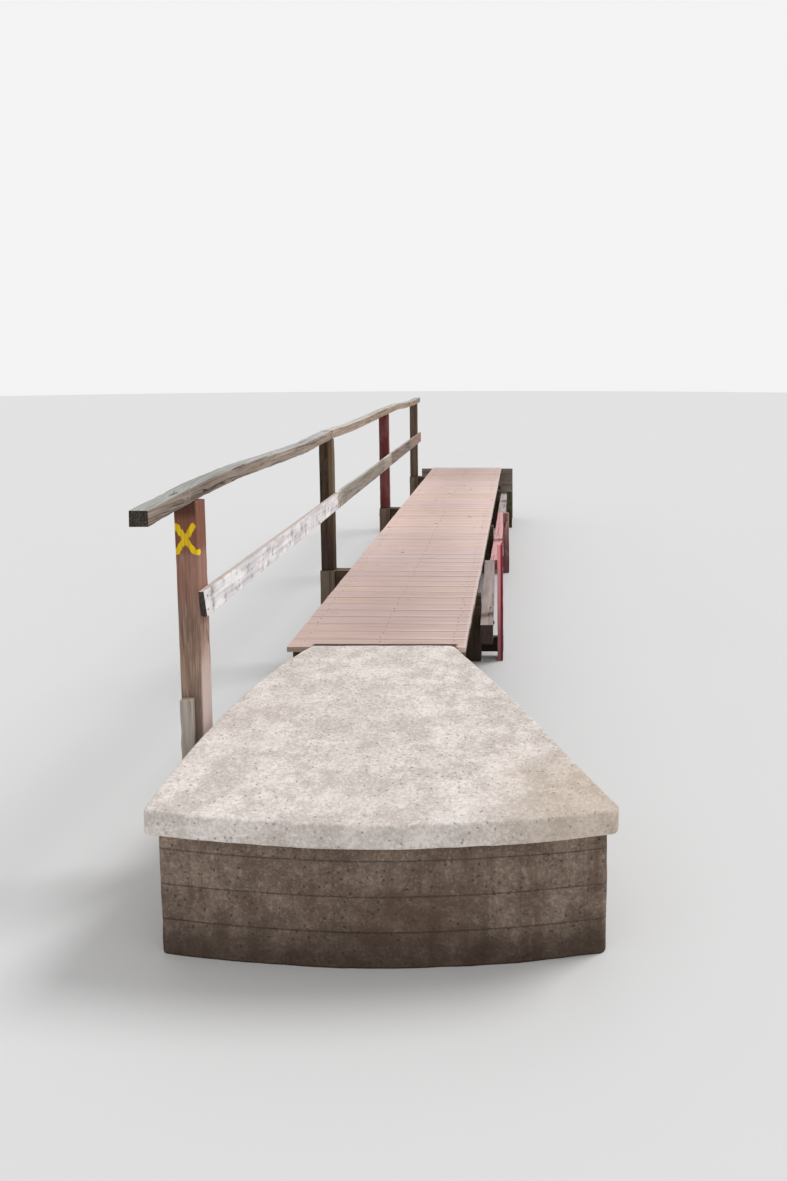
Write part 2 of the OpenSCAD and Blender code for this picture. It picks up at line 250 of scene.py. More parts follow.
    def lay(self, colour: Socket | Colour, coats: list[Coat]) -> Socket:
        """Lay coats over a colour, one after the other.

        Args:
            colour: the colour under them.
            coats: where each coat lies, its strength there and its colour.

        Returns:
            The colour with the coats on.
        """
        for mask, strength, over in coats:
            colour = self.blend(self.times(mask, strength), colour, over)
        return colour

    def finish(self, colour: Socket, rough: Amount, relief: Socket, depth: float) -> Material:
        """Join colour, roughness and relief to the shader.

        Args:
            colour: colour of the surface.
            rough: roughness.
            relief: height of the surface, from about 0 to 1.
            depth: what a height of 1 stands for, in metres.

        Returns:
            The finished material.
        """
        bump = self.add("ShaderNodeBump", 0, {
            "Height": relief, "Distance": depth, "Strength": 1.0})
        for name, value in (("Base Color", colour), ("Normal", bump), ("Roughness", rough)):
            self.feed(self.shader.inputs[name], value)
        return self.material


@dataclass(frozen=True)
class Marks:
    """One kind of mark on a surface: cloudy noise, sharpened between two of its levels."""

    stretch: Triple  # clouds per metre along each direction
    detail: float  # number of finer layers
    rough: float  # strength of the finer layers
    start: float  # level at which a mark begins
    full: float  # level from which on it is at its full strength

    def on(self, pen: Pen, where: Socket, lift: float = 0.0) -> Socket:
        """Where the marks are, from 0 to 1, with their levels lifted to make them rarer."""
        cloud = pen.clouds(where, self.stretch, self.detail, self.rough)
        return pen.step(cloud, self.start + lift, self.full + lift)


RINGS_PER_METRE = 150.0
RING_LEVELS = (0.40, 0.66)
FIBRES_PER_METRE = (7.0, 380.0, 380.0)
FIBRE_LEVELS = (0.5, 0.72)
KNOTS_PER_METRE = (3.4, 3.4, 0.7)
FLAT_KNOTS_PER_METRE = 2.9
FLAT_KNOT_SHARE = 0.26
KNOT_EDGE = (0.062, 0.03)
KNOT_REACH = 0.26
KNOT_BULGE = 0.012
GRAIN_DRIFT = (0.0, 0.045, 0.045)
UPWARD_LEVELS = (0.25, 0.85)
UNDERSIDE_SHADE_LEVELS = (-0.4, -0.9)
WET_LEVELS = (0.34, 0.04)
STONES_PER_METRE = (58.0, 58.0, 58.0)
STONE_EDGE = (0.36, 0.20)
PITS_PER_METRE = (30.0, 30.0, 30.0)
PIT_EDGE = (0.19, 0.10)
SEAM_EDGE = (0.05, 0.02)
SIDE_SPLIT_WIDTH = 0.010
END_SPLIT_WIDTH = 0.022
EDGE_CLOUDS = (9.0, 9.0, 9.0)
BRISTLES = (110.0, 110.0, 40.0)
STREAKS = Marks((1.4, 60.0, 60.0), 4.0, 0.62, 0.40, 0.64)
PATCHES = Marks((1.3, 5.0, 5.0), 3.0, 0.6, 0.44, 0.66)
SIDE_SPLITS = Marks((1.9, 7.0, 7.0), 1.0, 0.55, 0.50, 0.60)
END_SPLITS = Marks((9.0, 14.0, 14.0), 1.0, 0.55, 0.40, 0.55)
MOSS = Marks((14.0, 22.0, 22.0), 5.0, 0.7, 0.62, 0.72)
CHALK = Marks((4.0, 12.0, 12.0), 4.0, 0.65, 0.40, 0.62)
CAST_CLOUDS = Marks((2.2, 2.2, 2.2), 4.0, 0.6, 0.38, 0.66)
CAST_WEAR = Marks((7.0, 7.0, 7.0), 7.0, 0.74, 0.42, 0.60)
CAST_GRIT = Marks((60.0, 60.0, 60.0), 4.0, 0.75, 0.44, 0.58)
CAST_CRUMBS = Marks((26.0, 26.0, 26.0), 4.0, 0.8, 0.68, 0.74)
CAST_SOIL = Marks((1.7, 1.7, 3.5), 5.0, 0.62, 0.72, 0.86)
RUST = Marks((160.0, 160.0, 160.0), 4.0, 0.7, 0.66, 0.78)
FORM_RUNS = Marks((11.0, 11.0, 0.9), 4.0, 0.65, 0.46, 0.66)


@dataclass(frozen=True)
class StainAndLight:
    """A stain, wear, painted light or shade that comes in along one direction of the frame."""

    colour: Colour  # colour of the layer
    strength: float  # how far it hides what is under it
    axis: Axis  # the direction along which it comes in
    start: float  # place where it begins to show
    full: float  # place from which on it is at its full strength
    ragged: float = 0.02  # how far its edge strays, in metres
    across: Pair | None = None  # its limits across the bridge, if it has any
    blur: float = 0.004  # half of the width over which it fades at those limits
    mode: Mode = Mode.PLAIN  # how it goes over what is under it
    every: float | None = None  # length after which it comes again, if it does

    def over(self, pen: Pen, colour: Socket) -> Socket:
        """Lay the layer over a colour.

        Args:
            pen: draws the material.
            colour: the colour under the layer.

        Returns:
            The colour with the layer on it.
        """
        place = pen.place()
        stray = pen.fit(pen.clouds(place, EDGE_CLOUDS, 5.0, 0.7),
                        4.0 * self.ragged, -2.0 * self.ragged)
        run = pen.part(place, self.axis)
        if self.every:
            run = pen.times(pen.work("FRACT", pen.work("DIVIDE", run, self.every)), self.every)
        amount = pen.step(pen.work("ADD", run, stray), self.start, self.full)
        if self.across:
            low, high = self.across
            side = pen.part(place, Axis.ACROSS)
            amount = pen.times(amount, pen.step(side, low - self.blur, low + self.blur))
            amount = pen.times(amount, pen.step(side, high + self.blur, high - self.blur))
        return pen.blend(pen.times(amount, self.strength), colour, self.colour, self.mode)


@dataclass(frozen=True)
class PaintCoat:
    """Old paint on timber."""

    fresh: Colour  # colour where the coat is whole
    faded: Colour  # colour where it has chalked
    bare_below: float  # level of the flaking noise under which bare wood shows
    flakes: Triple = (9.0, 24.0, 24.0)  # flakes per metre along the grain, across it and upwards
    soft: float = 0.02  # half of the width of the change from paint to wood, on the flaking noise
    ends: bool = True  # whether the sawn ends are painted too
    topside: Colour | None = None  # colour of faces that look up, if it differs: bleached paint, on the red beam also painted sky light
    stops_at: float | None = None  # place along the bridge where the coat stops, if it does


@dataclass(frozen=True)
class PaintedCross:
    """Two ragged brush strokes on the face of a post that looks along the bridge."""

    colour: Colour  # colour of the paint
    low: Pair  # lower left corner of the cross, across and up, in metres
    high: Pair  # upper right corner
    half_width: float  # half of a stroke's width
    front: float  # place of the painted face along the bridge
    hook: Triple  # run of the falling stroke round the post's edge
    edge: Triple = (0.016, 0.0, -0.003)  # way from the cross's corner to that edge

    def stroke(self, pen: Pen, place: Socket, start: Vector, run: Vector) -> Socket:
        """Distance from a stroke's middle line.

        Args:
            pen: draws the material.
            place: where it is read.
            start: start of the line.
            run: way from its start to its end.

        Returns:
            The distance, counted in half widths.
        """
        offset = pen.vector("SUBTRACT", place, tuple(start))
        dot = pen.vector("DOT_PRODUCT", offset, tuple(run), "Value")
        share = pen.add("ShaderNodeMapRange", "Result", {
            "Value": dot, "From Max": run.length_squared})
        reached = pen.add("ShaderNodeVectorMath", 0, {0: tuple(run), 3: share}, operation="SCALE")
        away = pen.vector("LENGTH", pen.vector("SUBTRACT", offset, reached), output="Value")
        return pen.work("DIVIDE", away, self.half_width)

    def mask(self, pen: Pen) -> Socket:
        """Where the paint lies.

        Args:
            pen: draws the material.

        Returns:
            1 on the strokes and 0 beside them.
        """
        place = pen.place()
        corners = [Vector((x, self.front, z)) for x in (self.low[0], self.high[0])
                   for z in (self.low[1], self.high[1])]
        rising = self.stroke(pen, place, corners[0], corners[3] - corners[0])
        falling = self.stroke(pen, place, corners[1], corners[2] - corners[1])
        hook = self.stroke(pen, place, corners[2] + Vector(self.edge), Vector(self.hook))
        nearest = pen.work("MINIMUM", pen.work("MINIMUM", rising, falling), hook)
        ragged = pen.fit(pen.clouds(place, BRISTLES, 5.0, 0.75), 2.4, -1.2)
        return pen.step(pen.work("ADD", nearest, ragged), 1.1, 0.85)


@dataclass(frozen=True)
class TimberFinish:
    """Colours and surface of one kind of old timber."""

    name: str  # name of the materials
    heart: Colour  # colour of the side faces
    line: Colour  # colour of the dark lines in the grain
    sky: Colour  # colour of the faces that look up: bleached wood, partly painted sky light
    sawn: Colour  # colour of the sawn ends
    rings: float = 0.35  # how strongly the growth rings show
    streaks: float = 0.55  # how strongly the weathered grain shows
    patches: float = 0.35  # how strongly large patches darken the timber
    splits: float = 0.8  # how strongly drying splits show
    knots: float = 0.6  # how strongly knots show
    damp: float = 0.0  # how strongly the foot is darkened by wet ground
    moss: float = 0.0  # share of green growth
    rough: float = 0.85  # roughness
    depth: float = 0.0012  # depth of the grain's relief, in metres
    variety: float = 0.10  # how far the timbers of one node differ in tone
    flat_knots: bool = False  # whether knots go straight through, as in a board
    coat: PaintCoat | None = None  # old paint, if there is any
    cross: PaintedCross | None = None  # painted cross, if there is one
    stains: tuple[StainAndLight, ...] = ()  # stains, wear, painted light and shade, lowest layer first

    def material(self, cut: Cut) -> Material:
        """Make the material of the sides or of the sawn ends, once for each finish."""
        name = f"{self.name}_{cut.value}"
        return bpy.data.materials.get(name) or self.draw(Pen(name, TIMBER_GLOSS), cut)

    def draw(self, pen: Pen, cut: Cut) -> Material:
        """Lay out the nodes of one material.

        Args:
            pen: draws the material.
            cut: whether it covers sides or sawn ends.

        Returns:
            The finished material.
        """
        grain = pen.attribute("grain", "Vector")
        knot = (pen.flat_specks(grain, FLAT_KNOTS_PER_METRE, FLAT_KNOT_SHARE) if self.flat_knots
                else pen.specks(grain, KNOTS_PER_METRE))
        bent = self.bent_grain(pen, grain, knot)
        radius = pen.vector("LENGTH", pen.vector("MULTIPLY", bent, CROSSWISE), output="Value")
        ring = pen.step(pen.bands(radius, RINGS_PER_METRE), *RING_LEVELS)
        streak = STREAKS.on(pen, bent)
        fibre = pen.clouds(bent, FIBRES_PER_METRE, 2.0, 0.6)
        patch = PATCHES.on(pen, grain)
        split = self.split_lines(pen, bent, grain, cut)

        colour = self.bare_wood(pen, cut, ring, streak, patch)
        colour = pen.lay(colour, [(pen.step(fibre, *FIBRE_LEVELS), 0.25, toned(self.sky, 1.18))])
        colour = self.tinted(pen, colour)
        if cut is Cut.SIDE and self.knots > 0:
            spot = pen.step(knot, *KNOT_EDGE)
            colour = pen.lay(colour, [(spot, self.knots, toned(self.line, 0.45))])
        relief = pen.fit(ring, -0.3, pen.fit(streak, -0.45, 1.0))
        relief = pen.fit(fibre, -0.25, relief)
        if self.coat and (cut is Cut.SIDE or self.coat.ends):
            cover = self.paint_cover(pen, grain, streak)
            colour = pen.blend(cover, colour, self.paint_colour(pen, grain, streak))
            relief = pen.fit(cover, 0.35, relief)
        if self.moss > 0:
            colour = pen.blend(MOSS.on(pen, grain, -0.3 * self.moss), colour, MOSS_GREEN)
        colour = pen.blend(split, colour, toned(self.line, 0.3))
        relief = pen.fit(split, -1.6, relief)
        # Layers of stains, wear, painted light and painted shade, lowest first.
        for stain in self.stains:
            colour = stain.over(pen, colour)
        if self.damp > 0:
            colour = pen.lay(colour, [(self.wet_foot(pen), self.damp, WET_SOIL)])
        if self.cross:
            mask = pen.times(self.cross.mask(pen), pen.fit(streak, -0.35, 1.0))
            colour = pen.blend(mask, colour, self.cross.colour)
        return pen.finish(colour, pen.fit(streak, 0.08, self.rough), relief, self.depth)

    def bent_grain(self, pen: Pen, grain: Socket, knot: Socket) -> Socket:
        """Let the grain wander, and bulge round the knots.

        Args:
            pen: draws the material.
            grain: place in the timber.
            knot: distance to the nearest knot.

        Returns:
            The place in the wandering grain.
        """
        drift = pen.clouds(grain, (0.8, 2.5, 2.5), 1.0, 0.5, "Color")
        drift = pen.vector("SUBTRACT", drift, (0.5, 0.5, 0.5))
        drift = pen.vector("MULTIPLY", drift, GRAIN_DRIFT)
        height = KNOT_BULGE * min(1.0, 2.0 * self.knots)
        bulge = pen.times(pen.step(knot, KNOT_REACH, 0.0), height)
        return pen.vector("ADD", pen.vector("ADD", grain, drift), pen.join({1: bulge, 2: bulge}))

    def split_lines(self, pen: Pen, bent: Socket, grain: Socket, cut: Cut) -> Socket:
        """Drying splits: lines along the grain, or from the pith outwards on a sawn end.

        Args:
            pen: draws the material.
            bent: place in the wandering grain.
            grain: place in the timber.
            cut: whether the splits lie on sides or sawn ends.

        Returns:
            Where the splits are, from 0 to 1.
        """
        if cut is Cut.SIDE:
            lines = pen.clouds(bent, (0.8, 17.0, 17.0), 2.0, 0.5)
            where, width = SIDE_SPLITS.on(pen, grain), SIDE_SPLIT_WIDTH
        else:
            outward = pen.vector("NORMALIZE", pen.vector("MULTIPLY", bent, CROSSWISE))
            lines = pen.clouds(outward, (5.0, 5.0, 5.0), 2.0, 0.6)
            where, width = END_SPLITS.on(pen, grain), END_SPLIT_WIDTH
        away = pen.work("ABSOLUTE", pen.work("SUBTRACT", lines, 0.5))
        return pen.times(pen.times(pen.step(away, width, 0.3 * width), where), self.splits)

    def bare_wood(self, pen: Pen, cut: Cut, ring: Socket, streak: Socket,
                  patch: Socket) -> Socket:
        """Colour of the wood with its grain, before stains and paint.

        Args:
            pen: draws the material.
            cut: whether it covers sides or sawn ends.
            ring: the growth rings.
            streak: where the grain is weathered out.
            patch: the darker patches.

        Returns:
            The colour.
        """
        if cut is Cut.END:
            marks = pen.fit(ring, 0.5, pen.times(patch, 0.3))
            return pen.blend(marks, self.sawn, toned(self.sawn, 0.55))
        facing = pen.attribute("facing", "Fac")
        upward = pen.step(facing, *UPWARD_LEVELS)
        # Faces that look up take the sky colour: bleached wood, partly painted sky light.
        face = pen.blend(upward, self.heart, self.sky)
        # Faces that look down are darkened: painted shade.
        face = pen.lay(face, [(pen.step(facing, *UNDERSIDE_SHADE_LEVELS), 0.5, self.line)])
        dark = pen.lay(self.line, [(upward, 0.45, self.sky)])
        marks = pen.fit(ring, self.rings, pen.times(streak, self.streaks))
        marks = pen.work("MINIMUM", pen.fit(patch, self.patches, marks), 1.0)
        return pen.blend(marks, face, dark)

    def tinted(self, pen: Pen, colour: Socket) -> Socket:
        """Make one timber lighter or darker and warmer or cooler than the next.

        Args:
            pen: draws the material.
            colour: colour of the wood.

        Returns:
            The tinted colour.
        """
        tint = pen.attribute("tint", "Vector")
        tone = pen.fit(pen.part(tint, Axis.ACROSS), self.variety, 1.0)
        warmth = pen.part(tint, Axis.ALONG)
        red, blue = (pen.times(tone, pen.fit(warmth, share, 1.0)) for share in (0.03, -0.05))
        return pen.vector("MULTIPLY", colour, pen.join({0: red, 1: tone, 2: blue}))

    def paint_cover(self, pen: Pen, grain: Socket, streak: Socket) -> Socket:
        """Where the old paint still holds.

        Args:
            pen: draws the material.
            grain: place in the timber.
            streak: where the grain is weathered out.

        Returns:
            1 under paint and 0 where the wood is bare.
        """
        coat = self.coat
        flaking = pen.fit(streak, -0.06, pen.clouds(grain, coat.flakes, 5.0, 0.68))
        cover = pen.step(flaking, coat.bare_below - coat.soft, coat.bare_below + coat.soft)
        if coat.stops_at:
            ragged = pen.fit(pen.clouds(grain, (12.0, 30.0, 30.0)), 0.3, coat.stops_at - 0.15)
            past = pen.work("SUBTRACT", pen.part(pen.place(), Axis.ALONG), ragged)
            cover = pen.times(cover, pen.step(past, 0.03, -0.03))
        return cover

    def paint_colour(self, pen: Pen, grain: Socket, streak: Socket) -> Socket:
        """Colour of the old paint.

        Args:
            pen: draws the material.
            grain: place in the timber.
            streak: where the grain is weathered out.

        Returns:
            The colour.
        """
        paint = pen.blend(CHALK.on(pen, grain), self.coat.fresh, self.coat.faded)
        # Faces that look up take the coat's top colour: bleached paint, on the red beam also
        # painted sky light.
        if self.coat.topside:
            upward = pen.step(pen.attribute("facing", "Fac"), 0.3, 0.8)
            paint = pen.blend(upward, paint, self.coat.topside)
        return pen.lay(paint, [(streak, 0.22, self.line)])

    def wet_foot(self, pen: Pen) -> Socket:
        """Where wet ground darkens the foot of a timber.

        Args:
            pen: draws the material.

        Returns:
            1 at the ground and 0 above the damp.
        """
        place = pen.place()
        ragged = pen.fit(pen.clouds(place, (9.0, 9.0, 3.0), 4.0, 0.6), 0.5, -0.25)
        level = pen.work("ADD", pen.part(place, Axis.UPWARD), ragged)
        return pen.step(level, *WET_LEVELS)


@dataclass(frozen=True)
class CastFinish:
    """Cast concrete with worn paste, fine stones, pits and stains."""

    name: str  # name of the material
    paste: Colour  # main colour
    shade: Colour  # colour of the darker clouds
    stain: Colour  # colour of soil and rust stains
    stained: float  # share of the surface with stains
    contrast: float  # how strongly worn spots, grit and stones show
    depth: float = 0.0016  # depth of the relief, in metres
    form_boards: float = 0.0  # height of the courses that form boards have left, or 0
    stains: tuple[StainAndLight, ...] = ()  # stains that lie in one place

    def material(self) -> Material:
        """Make the material, once for each finish."""
        return bpy.data.materials.get(self.name) or self.draw(Pen(self.name, CAST_GLOSS))

    def draw(self, pen: Pen) -> Material:
        """Lay out the nodes of the material.

        Args:
            pen: draws the material.

        Returns:
            The finished material.
        """
        place = pen.place()
        worn, grit = CAST_WEAR.on(pen, place), CAST_GRIT.on(pen, place)
        stones = pen.step(pen.specks(place, STONES_PER_METRE), *STONE_EDGE)
        pits = pen.step(pen.specks(place, PITS_PER_METRE), *PIT_EDGE)
        colour = pen.lay(self.paste, [
            (CAST_CLOUDS.on(pen, place), 0.35, self.shade), (worn, self.contrast, self.shade),
            (grit, 0.45 * self.contrast, toned(self.shade, 0.80)),
            (stones, 0.50 * self.contrast, toned(self.paste, 1.09)),
            (CAST_SOIL.on(pen, place, -0.4 * self.stained), 0.7, self.stain),
            (pits, 0.6, toned(self.shade, 0.62)),
            (CAST_CRUMBS.on(pen, place), 0.7, toned(self.shade, 0.42))])
        relief = pen.fit(stones, 0.3, pen.fit(grit, -0.35, pen.times(worn, -0.6)))
        relief = pen.fit(pits, -0.9, relief)
        if self.form_boards:
            level = pen.part(place, Axis.UPWARD)
            course = pen.work("FRACT", pen.work("DIVIDE", level, self.form_boards))
            seam = pen.step(course, *SEAM_EDGE)
            colour = pen.lay(colour, [(seam, 0.5, toned(self.shade, 0.55)),
                                      (FORM_RUNS.on(pen, place), 0.5, self.stain)])
            relief = pen.fit(seam, -1.2, relief)
        for layer in self.stains:
            colour = layer.over(pen, colour)
        return pen.finish(colour, pen.fit(worn, 0.08, 0.84), relief, self.depth)


@dataclass(frozen=True)
class IronFinish:
    """Weathered iron of nails and bolts."""

    name: str  # name of the material
    clean: Colour  # colour where it is clean
    rust: Colour  # colour of the rust
    rusted: float  # share of the surface with rust
    metallic: float = 0.55  # how much it reflects as a metal does
    depth: float = 0.0004  # depth of the relief, in metres

    def material(self) -> Material:
        """Make the material, once for each finish."""
        return bpy.data.materials.get(self.name) or self.draw(Pen(self.name, IRON_GLOSS))

    def draw(self, pen: Pen) -> Material:
        """Lay out the nodes of the material.

        Args:
            pen: draws the material.

        Returns:
            The finished material.
        """
        pen.shader.inputs["Metallic"].default_value = self.metallic
        rust = RUST.on(pen, pen.place(), -0.4 * self.rusted)
        relief = pen.clouds(pen.place(), RUST.stretch, RUST.detail, RUST.rough)
        colour = pen.blend(rust, self.clean, self.rust)
        return pen.finish(colour, pen.fit(rust, 0.35, 0.5), relief, self.depth)


DECK = TimberFinish(
    "deck_board", heart=(0.74, 0.63, 0.58), line=(0.62, 0.51, 0.47), sky=(0.95, 0.84, 0.805),
    sawn=(0.72, 0.60, 0.56), rings=0.18, streaks=0.30, patches=0.20, splits=0.35, knots=0.8,
    variety=0.045, flat_knots=True, stains=(
        StainAndLight((0.66, 0.57, 0.535), 0.42, Axis.ALONG, 4.4, 0.4, 0.3),
        StainAndLight((0.70, 0.61, 0.575), 0.5, Axis.ALONG, 6.5, 7.7, 0.25),
        # Pale line along each board's near edge: worn edge, partly painted highlight where it
        # catches the light.
        StainAndLight((0.98, 0.91, 0.88), 0.5, Axis.ALONG, 0.026, 0.018, 0.002, (0.10, 0.60), 0.3,
              every=BOARD_PITCH),
        # Dark line along each board's far edge beside the gap: painted shade of the gap.
        StainAndLight((0.46, 0.38, 0.355), 0.5, Axis.ALONG, 0.139, 0.143, 0.001, (0.0, 0.60), 0.3,
              every=BOARD_PITCH),
        StainAndLight((0.95, 0.90, 0.88), 0.35, Axis.ACROSS, 0.475, 0.495, 0.006),
        StainAndLight((0.62, 0.52, 0.49), 0.16, Axis.ALONG, 9.0, 8.0, 0.1, (-0.30, 0.22), 0.2),
        StainAndLight((0.16, 0.115, 0.105), 0.92, Axis.ALONG, 0.068, 0.052, 0.005, (-0.36, 0.45), 0.012)))
RAIL = TimberFinish(
    "rail_timber", heart=(0.64, 0.57, 0.51), line=(0.36, 0.29, 0.24), sky=(0.74, 0.735, 0.71),
    sawn=(0.25, 0.205, 0.16), streaks=0.50, knots=0.7, stains=(
        StainAndLight((0.51, 0.51, 0.51), 1.0, Axis.ALONG, -0.5, 0.7, 0.2, mode=Mode.LIGHTEN),))
GREY = TimberFinish(
    "grey_timber", heart=(0.60, 0.55, 0.51), line=(0.38, 0.33, 0.30), sky=(0.72, 0.67, 0.645),
    sawn=(0.42, 0.36, 0.32), damp=0.6)
BEAM_GREY = TimberFinish(
    "beam_timber", heart=(0.58, 0.53, 0.51), line=(0.42, 0.37, 0.36), sky=(0.76, 0.70, 0.69),
    sawn=(0.27, 0.21, 0.19), streaks=0.5, patches=0.25, knots=0.2)
PILE = TimberFinish(
    "pile_timber", heart=(0.53, 0.46, 0.40), line=(0.31, 0.26, 0.22), sky=(0.55, 0.49, 0.43),
    sawn=(0.44, 0.38, 0.33), damp=0.7)
WHITEWASHED = TimberFinish(
    "whitened_timber", heart=(0.78, 0.77, 0.77), line=(0.58, 0.57, 0.58), sky=(0.82, 0.76, 0.72),
    sawn=(0.24, 0.21, 0.21), streaks=0.35, patches=0.2, knots=0.0, splits=0.2, depth=0.0007,
    coat=PaintCoat((1.0, 0.99, 0.99), (0.88, 0.87, 0.885), 0.40, (12.0, 8.0, 8.0), soft=0.09,
                   ends=False, topside=(0.84, 0.78, 0.75)))
SILVER = TimberFinish(
    "silver_timber", heart=(0.60, 0.565, 0.515), line=(0.42, 0.375, 0.33), sky=(0.80, 0.78, 0.73),
    sawn=(0.66, 0.66, 0.68), patches=0.3, stains=(
        StainAndLight((0.64, 0.65, 0.67), 1.0, Axis.ALONG, 2.36, 2.08, 0.05, mode=Mode.LIGHTEN),
        StainAndLight((0.58, 0.58, 0.58), 1.0, Axis.ALONG, 4.2, 4.75, 0.06, mode=Mode.LIGHTEN)))
STUB = TimberFinish(
    "stub_timber", heart=(0.76, 0.73, 0.70), line=(0.50, 0.47, 0.44), sky=(0.86, 0.80, 0.72),
    sawn=(0.84, 0.78, 0.70), damp=0.6)
BROWN = TimberFinish(
    "brown_timber", heart=(0.58, 0.525, 0.485), line=(0.36, 0.31, 0.27), sky=(0.80, 0.70, 0.66),
    sawn=(0.52, 0.44, 0.39), stains=(
        StainAndLight((0.68, 0.55, 0.50), 0.6, Axis.ALONG, 6.4, 7.4, 0.1),))
POST_1 = TimberFinish(
    "first_post_timber", heart=(0.64, 0.52, 0.45), line=(0.40, 0.30, 0.25),
    sky=(0.84, 0.78, 0.68), sawn=(0.90, 0.85, 0.76), streaks=0.35, patches=0.3, damp=0.6,
    cross=PaintedCross((1.0, 0.84, 0.03), (-0.731, 1.492), (-0.656, 1.609), 0.0130, -0.937,
                       (0.0, 0.028, -0.004)),
    stains=(
        StainAndLight((0.52, 0.475, 0.44), 0.7, Axis.UPWARD, 1.05, 0.55, 0.05, (-0.70, -0.645)),
        StainAndLight((0.60, 0.61, 0.61), 1.0, Axis.UPWARD, 1.12, 0.92, 0.05, (-0.645, -0.60),
              mode=Mode.LIGHTEN),
        StainAndLight((0.82, 0.76, 0.745), 0.7, Axis.UPWARD, 1.12, 0.85, 0.05, (-0.645, -0.60)),
        StainAndLight((0.62, 0.40, 0.35), 0.4, Axis.UPWARD, 1.18, 1.34, 0.04),
        StainAndLight((0.47, 0.28, 0.19), 0.70, Axis.UPWARD, 1.45, 1.52, 0.02),
        # Dark top of the front face under the top rail: painted shadow of the rail.
        StainAndLight((0.27, 0.16, 0.13), 0.7, Axis.UPWARD, 1.625, 1.675, 0.006, (-0.76, -0.645))))
# Dark brown for stringers, piers and sill: partly painted shade, darkened to stand in for the
# shadow under the deck.
DARK = TimberFinish(
    "dark_timber", heart=(0.36, 0.29, 0.235), line=(0.19, 0.145, 0.115), sky=(0.48, 0.42, 0.36),
    sawn=(0.33, 0.27, 0.22), damp=0.8)
POST_2 = TimberFinish(
    "second_post_timber", heart=(0.36, 0.29, 0.21), line=(0.19, 0.14, 0.11),
    sky=(0.48, 0.42, 0.36), sawn=(0.33, 0.27, 0.22), damp=0.8, streaks=0.4, stains=(
        StainAndLight((0.47, 0.40, 0.31), 0.75, Axis.UPWARD, 1.2, 1.35, 0.03, (-0.668, -0.60), 0.008),
        StainAndLight((0.23, 0.17, 0.155), 0.65, Axis.UPWARD, 1.15, 0.95, 0.03)))
POST_4 = TimberFinish(
    "fourth_post_timber", heart=(0.46, 0.39, 0.33), line=(0.27, 0.21, 0.17),
    sky=(0.56, 0.50, 0.44), sawn=(0.42, 0.35, 0.29), damp=0.8)
RED = TimberFinish(
    "red_timber", heart=(0.44, 0.33, 0.30), line=(0.26, 0.16, 0.15), sky=(0.60, 0.48, 0.44),
    sawn=(0.44, 0.30, 0.26), damp=0.5, knots=0.0,
    coat=PaintCoat((0.42, 0.19, 0.185), (0.50, 0.30, 0.30), 0.37))
STUB_RED = TimberFinish(
    "bright_red_timber", heart=(0.56, 0.36, 0.34), line=(0.40, 0.16, 0.19),
    sky=(0.66, 0.50, 0.48), sawn=(0.66, 0.42, 0.42), damp=0.4, knots=0.0, splits=0.3,
    coat=PaintCoat((0.64, 0.16, 0.26), (0.60, 0.22, 0.29), 0.34), stains=(
        StainAndLight((1.0, 0.67, 0.68), 0.9, Axis.ACROSS, 0.649, 0.643, 0.0015),
        StainAndLight((0.44, 0.22, 0.26), 0.55, Axis.UPWARD, 0.62, 0.15, 0.04)))
STUB_PINK = TimberFinish(
    "worn_red_timber", heart=(0.72, 0.59, 0.55), line=(0.46, 0.32, 0.30), sky=(0.66, 0.54, 0.50),
    sawn=(0.60, 0.46, 0.42), damp=0.5, knots=0.0,
    coat=PaintCoat((0.80, 0.54, 0.51), (0.90, 0.72, 0.68), 0.50), stains=(
        StainAndLight((0.42, 0.20, 0.19), 0.6, Axis.UPWARD, 0.50, 0.25, 0.04),))
BEAM_RED = TimberFinish(
    "faded_red_timber", heart=(0.62, 0.56, 0.54), line=(0.42, 0.37, 0.36), sky=(0.88, 0.83, 0.81),
    sawn=(0.50, 0.42, 0.40), streaks=0.4, damp=0.4, knots=0.4,
    # Pink top of the red beam: faded paint, partly painted sky light lifted against the deck's
    # shade.
    coat=PaintCoat((0.56, 0.26, 0.27), (0.64, 0.38, 0.38), 0.33,
                   topside=(1.0, 0.77, 0.78), stops_at=6.77))
MOSSY = TimberFinish(
    "mossy_timber", heart=(0.36, 0.32, 0.26), line=(0.20, 0.17, 0.13), sky=(0.52, 0.50, 0.42),
    sawn=(0.52, 0.52, 0.42), damp=0.7, moss=0.4)
LANDING = CastFinish(
    "landing_concrete", (0.985, 0.945, 0.92), (0.83, 0.785, 0.755), (0.80, 0.72, 0.64), 0.12,
    0.80, stains=(
        StainAndLight((0.74, 0.645, 0.53), 0.45, Axis.ALONG, -0.95, -1.45, 0.12, (0.80, 1.4), 0.22),))
SOILED = CastFinish(
    "footing_concrete", (0.66, 0.58, 0.52), (0.46, 0.385, 0.335), (0.40, 0.315, 0.26), 0.40, 0.8,
    0.006, 0.145, (StainAndLight((0.28, 0.22, 0.18), 0.75, Axis.UPWARD, 0.24, 0.03, 0.05),))
IRON = IronFinish("weathered_iron", (0.46, 0.43, 0.41), (0.40, 0.29, 0.23), 0.6)


def frame_shape(node: str) -> Shape:
    """Copy a CAD node's mesh, with its loose triangles joined into flat faces.

    Args:
        node: name of the CAD node.

    Returns:
        A new mesh at the node's place.
    """
    shape = bmesh.new()
    shape.from_mesh(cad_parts[node].data)
    bmesh.ops.remove_doubles(shape, verts=shape.verts[:], dist=MERGE_DISTANCE)
    bmesh.ops.dissolve_limit(shape, angle_limit=FLAT_ANGLE, verts=shape.verts[:],
                             edges=shape.edges[:])
    return shape


